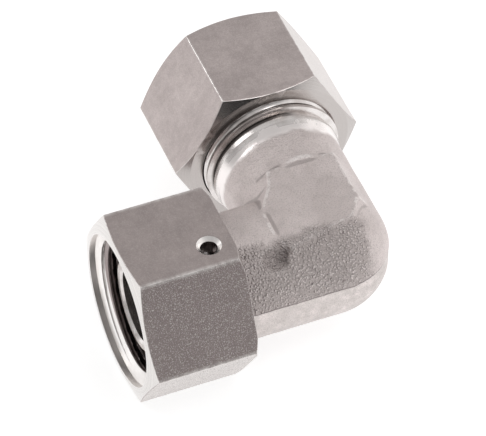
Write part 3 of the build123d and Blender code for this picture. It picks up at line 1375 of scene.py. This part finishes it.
@dataclass
class UnionNut:
    """Nut on the tube arm, with its thread, relief, ring cone and tube hole."""

    thread: Thread = field(default_factory=Thread)
    thread_phase: float = 0.8
    bar: HexagonBar = field(default_factory=lambda: HexagonBar(29.46, 53.46, 18.0, 17.55))
    mouth_radius: float = 15.3
    plain_radius: float = 14.4
    thread_end: float = 42.06
    relief_radius: float = 15.25
    relief_start: float = 42.91
    cone_start: float = 43.86
    cone_radius: float = 12.6
    hole_radius: float = 10.25
    hole_edge: float = 0.5

    def bore(self) -> list[Ring]:
        """Rings of the bore.

        Returns:
            The rings, from the tube hole back to the thread's mouth.
        """
        mouth_end = self.bar.near + self.mouth_radius - self.plain_radius
        tube_side = [
            (self.hole_radius + self.hole_edge, self.bar.far),
            (self.hole_radius, self.bar.far - self.hole_edge),
            (self.hole_radius, self.cone_start + self.cone_radius - self.hole_radius),
            (self.cone_radius, self.cone_start),
            (self.relief_radius, self.cone_start),
        ]
        threaded = fine((self.relief_radius, self.relief_start), (self.plain_radius, self.thread_end))
        threaded += fine(threaded[-1], (self.plain_radius, mouth_end))[1:]
        threaded += fine(threaded[-1], (self.mouth_radius, self.bar.near))[1:]
        return plain(tube_side) + self.thread.grooved(threaded, self.thread_phase)

    def build(self) -> list[bpy.types.Object]:
        """Builds the nut in place of its CAD node.

        Returns:
            The nut, in a list.
        """
        rings = self.bar.outside() + self.bore()
        made = turned("union_nut_threaded", rings, self.bar.turns(), Arm.TUBE.place())
        shade(made, NUT_SMOOTH)
        dress(made, NutSteel(), "union")
        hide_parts("union_nut")
        return [made]


@dataclass
class SwivelNut:
    """Nut on the swivel arm, with its stub bore, wire channel, thread, sunk mouth and wire hole."""

    thread: Thread = field(default_factory=Thread)
    thread_phase: float = 0.35
    bar: HexagonBar = field(default_factory=lambda: HexagonBar(22.8, 45.7, 19.3, 17.2, far_angle=15.6))
    stub_bore: float = 13.0
    rear_edge: float = 0.4
    bore_end: float = 31.0
    channel_place: float = 27.93
    channel_ring: float = 12.95
    channel_section: float = 1.58
    channel_steps: int = 14
    relief_radius: float = 15.2
    relief_end: float = 33.5
    sink_radius: float = 16.2
    sink_depth: float = 1.3
    sink_slope: float = math.tan(math.radians(30))
    hole_side: float = -4.9
    hole_radius: float = 1.8
    hole_sink: float = 0.8
    hole_bottom: float = 12.95
    hole_turns: int = 48

    def channel(self) -> list[Span]:
        """Profile of the wire's channel, an arc that stands out of the stub bore.

        Returns:
            Radius and place along the arm of each point.
        """
        lift = self.stub_bore - self.channel_ring
        low = math.asin(lift / self.channel_section)
        step = (math.pi - 2 * low) / self.channel_steps
        angles = [low + step * index for index in range(self.channel_steps + 1)]
        return [
            (
                self.channel_ring + self.channel_section * math.sin(angle),
                self.channel_place + self.channel_section * math.cos(angle),
            )
            for angle in angles
        ]

    def bore(self) -> list[Ring]:
        """Rings of the bore.

        Returns:
            The rings, from the sunk mouth back to the rear face.
        """
        minor = self.thread.minor
        mouth = self.bar.far - self.sink_depth
        sink_start = mouth - (self.sink_radius - minor) * self.sink_slope
        relief_edge = self.relief_end - self.relief_radius + minor
        threaded = fine((self.sink_radius, mouth), (minor, sink_start))
        threaded += fine((minor, sink_start), (minor, self.relief_end))[1:]
        threaded += fine((minor, self.relief_end), (self.relief_radius, relief_edge))[1:]
        rear = [
            (self.relief_radius, self.bore_end),
            (self.stub_bore, self.bore_end),
            *self.channel(),
            (self.stub_bore, self.bar.near + self.rear_edge),
            (self.stub_bore + self.rear_edge, self.bar.near),
        ]
        front = plain([(self.sink_radius, self.bar.far)])
        return front + self.thread.grooved(threaded, self.thread_phase) + plain(rear)

    def hole(self) -> bpy.types.Object:
        """Makes the cutter of the countersunk hole through which the wire is pushed in.

        Returns:
            The cutter.
        """
        top = self.bar.flat_radius
        profile = [
            (self.hole_radius, self.hole_bottom),
            (self.hole_radius, top - self.hole_sink),
            (self.hole_radius + 2 * self.hole_sink, top + self.hole_sink),
        ]
        upright = Matrix.Rotation(math.radians(90), 4, "X")
        place = Matrix.Translation(Vector((-self.channel_place, self.hole_side, 0)) * MM) @ upright
        return turned("wire_hole", plain(profile), even_turns(self.hole_turns), place, Ends.CAPPED)

    def build(self) -> list[bpy.types.Object]:
        """Builds the nut in place of its CAD node.

        Returns:
            The nut, in a list.
        """
        rings = self.bar.outside() + self.bore()
        made = turned("swivel_nut_threaded", rings, self.bar.turns(), Arm.SWIVEL.place())
        cut(made, self.hole())
        shade(made, NUT_SMOOTH)
        finish = NutSteel(
            name="nut_steel_pickled",
            grain=Grain.PICKLED,
            arm=Arm.SWIVEL,
            flats=(0.51, 0.447, 0.433, 1.0),
            darker=(0.37, 0.323, 0.314, 1.0),
            bright_mouth=43.0,
            wear=0.6,
            ends=(0.72, 0.695, 0.675, 1.0),
            corner_reach=0.8,
            corner_wear=0.6,
            bright_flat=(-0.866, -0.5),
            bright=0.7,
            end_polish=0.25,
            dimmed=0.75,
            bore_radius=15.75,
            hole_place=(-self.channel_place, self.hole_side, self.bar.flat_radius),
        )
        dress(made, finish, "swivel")
        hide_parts("swivel_nut")
        return [made]


@dataclass
class SmallParts:
    """Pieces that keep their CAD mesh and get a better finish."""

    finishes: tuple[tuple[str, Finish], ...] = (
        ("cutting_ring", TurnedSteel(name="ring_steel_turned", roughness=0.25)),
        ("retaining_wire", DrawnWire()),
        ("o_ring", SealRubber()),
    )

    def build(self) -> list[bpy.types.Object]:
        """Dresses the CAD nodes.

        Returns:
            The nodes' objects.
        """
        made = []
        for node, finish in self.finishes:
            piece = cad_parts[node]
            for place in piece.material_slots:
                place.material = finish.material()
            made.append(piece)
        return made


@dataclass
class PhotoCamera:
    """Camera at the photograph's viewing angle, solved from the nuts' corners."""

    place: Spot = (-0.21023, -0.43685, 0.54602)
    azimuth: float = -23.69
    elevation: float = 47.94
    roll: float = -1.84
    lens: float = 261.96
    sensor: float = 36.0
    nearest: float = 0.05
    farthest: float = 20.0

    def build(self) -> bpy.types.Object:
        """Makes the camera and gives it to the scene.

        Returns:
            The camera.
        """
        azimuth, elevation = math.radians(self.azimuth), math.radians(self.elevation)
        back = Vector((
            math.sin(azimuth) * math.cos(elevation),
            -math.cos(azimuth) * math.cos(elevation),
            math.sin(elevation),
        ))
        level = Vector((math.cos(azimuth), math.sin(azimuth), 0))
        upright = back.cross(level)
        roll = math.radians(self.roll)
        right = math.cos(roll) * level - math.sin(roll) * upright
        top = math.sin(roll) * level + math.cos(roll) * upright
        data = bpy.data.cameras.new("photo_camera")
        data.lens = self.lens
        data.sensor_width = self.sensor
        data.clip_start = self.nearest
        data.clip_end = self.farthest
        made = linked("photo_camera", data)
        facing = Matrix((right, top, back)).transposed().to_4x4()
        made.matrix_world = Matrix.Translation(self.place) @ facing
        bpy.context.scene.camera = made
        return made


@dataclass
class Studio:
    """White table, pale surround and soft lamps."""

    floor_height: float = -18.0
    floor_gap: float = 0.01
    floor_size: float = 2.0
    sky: float = 0.5
    right: float = 0.5
    front: float = 0.03
    overhead: float = 0.16
    tint: Colour = (1.0, 0.99, 0.985, 1.0)
    front_fade: tuple[Span, Span, Span] = ((0.65, 0.35), (-0.4, -0.75), (0.6, 0.3))
    right_fade: tuple[Span, Span] = ((-0.1, 0.8), (0.85, 0.35))
    overhead_fade: tuple[Span, Span] = ((-0.1, 0.5), (0.3, 0.85))
    patch_scale: float = 2.2
    patch_low: float = 0.7
    patch_range: float = 0.6
    lamps: tuple[tuple[str, Spot, float, float], ...] = (
        ("back_lamp", (-0.44, 0.43, 0.36), 0.3, 0.7),
        ("top_lamp", (0.19, -0.24, 0.63), 0.25, 0.7),
    )

    def floor(self) -> bpy.types.Object:
        """Makes the white floor on which the nuts' lower flats stand.

        Returns:
            The floor.
        """
        half = self.floor_size / 2
        level = (self.floor_height - self.floor_gap) * MM
        shape = bmesh.new()
        sides = ((-1, -1), (1, -1), (1, 1), (-1, 1))
        shape.faces.new([shape.verts.new((x * half, y * half, level)) for x, y in sides])
        mesh = bpy.data.meshes.new("floor")
        shape.to_mesh(mesh)
        shape.free()
        made = linked("floor", mesh)
        made.data.materials.append(PaleFloor().material())
        return made

    def surround(self) -> None:
        """World light: white to the camera, and graded from front to back for the metal."""
        world = bpy.data.worlds.new("studio")
        world.use_nodes = True
        bpy.context.scene.world = world
        net = Net(world.node_tree)
        coordinates = net.node("ShaderNodeTexCoord")
        direction = Signal(net, coordinates.outputs["Generated"])
        x, y, z = net.split(direction)
        seen = Signal(net, net.node("ShaderNodeLightPath").outputs["Is Camera Ray"])
        aside, ahead, height = self.front_fade
        front = y.smooth(*ahead) * z.smooth(*height) * x.smooth(*aside)
        right = x.smooth(*self.right_fade[0]) * z.smooth(*self.right_fade[1])
        overhead = z.smooth(*self.overhead_fade[1]) * y.smooth(*self.overhead_fade[0])
        level = self.sky + right * self.right + overhead * self.overhead
        level = level * (self.patch_low + net.noise(direction, self.patch_scale, 1.0) * self.patch_range)
        level = level * (1 - front) + front * self.front
        strength = level * (1 - seen) + seen
        background = net.node("ShaderNodeBackground", None, {"Color": self.tint, "Strength": strength})
        net.node("ShaderNodeOutputWorld", None, {"Surface": Signal(net, background.outputs[0])})

    def lamp(self, name: str, place: Spot, size: float, power: float) -> bpy.types.Object:
        """Makes a soft square lamp that faces the part.

        Args:
            name: Its name.
            place: Its place, in metres.
            size: Its side.
            power: Its power, in watts.

        Returns:
            The lamp.
        """
        data = bpy.data.lights.new(name, "AREA")
        data.shape = "SQUARE"
        data.size = size
        data.energy = power
        made = linked(name, data)
        made.location = place
        made.rotation_mode = "QUATERNION"
        made.rotation_quaternion = Vector(place).to_track_quat("Z", "Y")
        return made

    def build(self) -> list[bpy.types.Object]:
        """Sets up the stage.

        Returns:
            The floor, in a list.
        """
        self.surround()
        floor = self.floor()
        for lamp in self.lamps:
            self.lamp(*lamp)
        return [floor]


def main() -> None:
    """Builds the fitting and its stage."""
    logging.basicConfig(level=logging.INFO, format="%(name)s %(message)s")
    bpy.context.scene.view_settings.view_transform = "Standard"
    for part in (ElbowBody(), UnionNut(), SwivelNut(), SmallParts(), Studio()):
        for piece in part.build():
            LOG.info("%s: %s with %d faces", type(part).__name__, piece.name, len(piece.data.polygons))
    PhotoCamera().build()


if __name__ == "__main__":
    main()
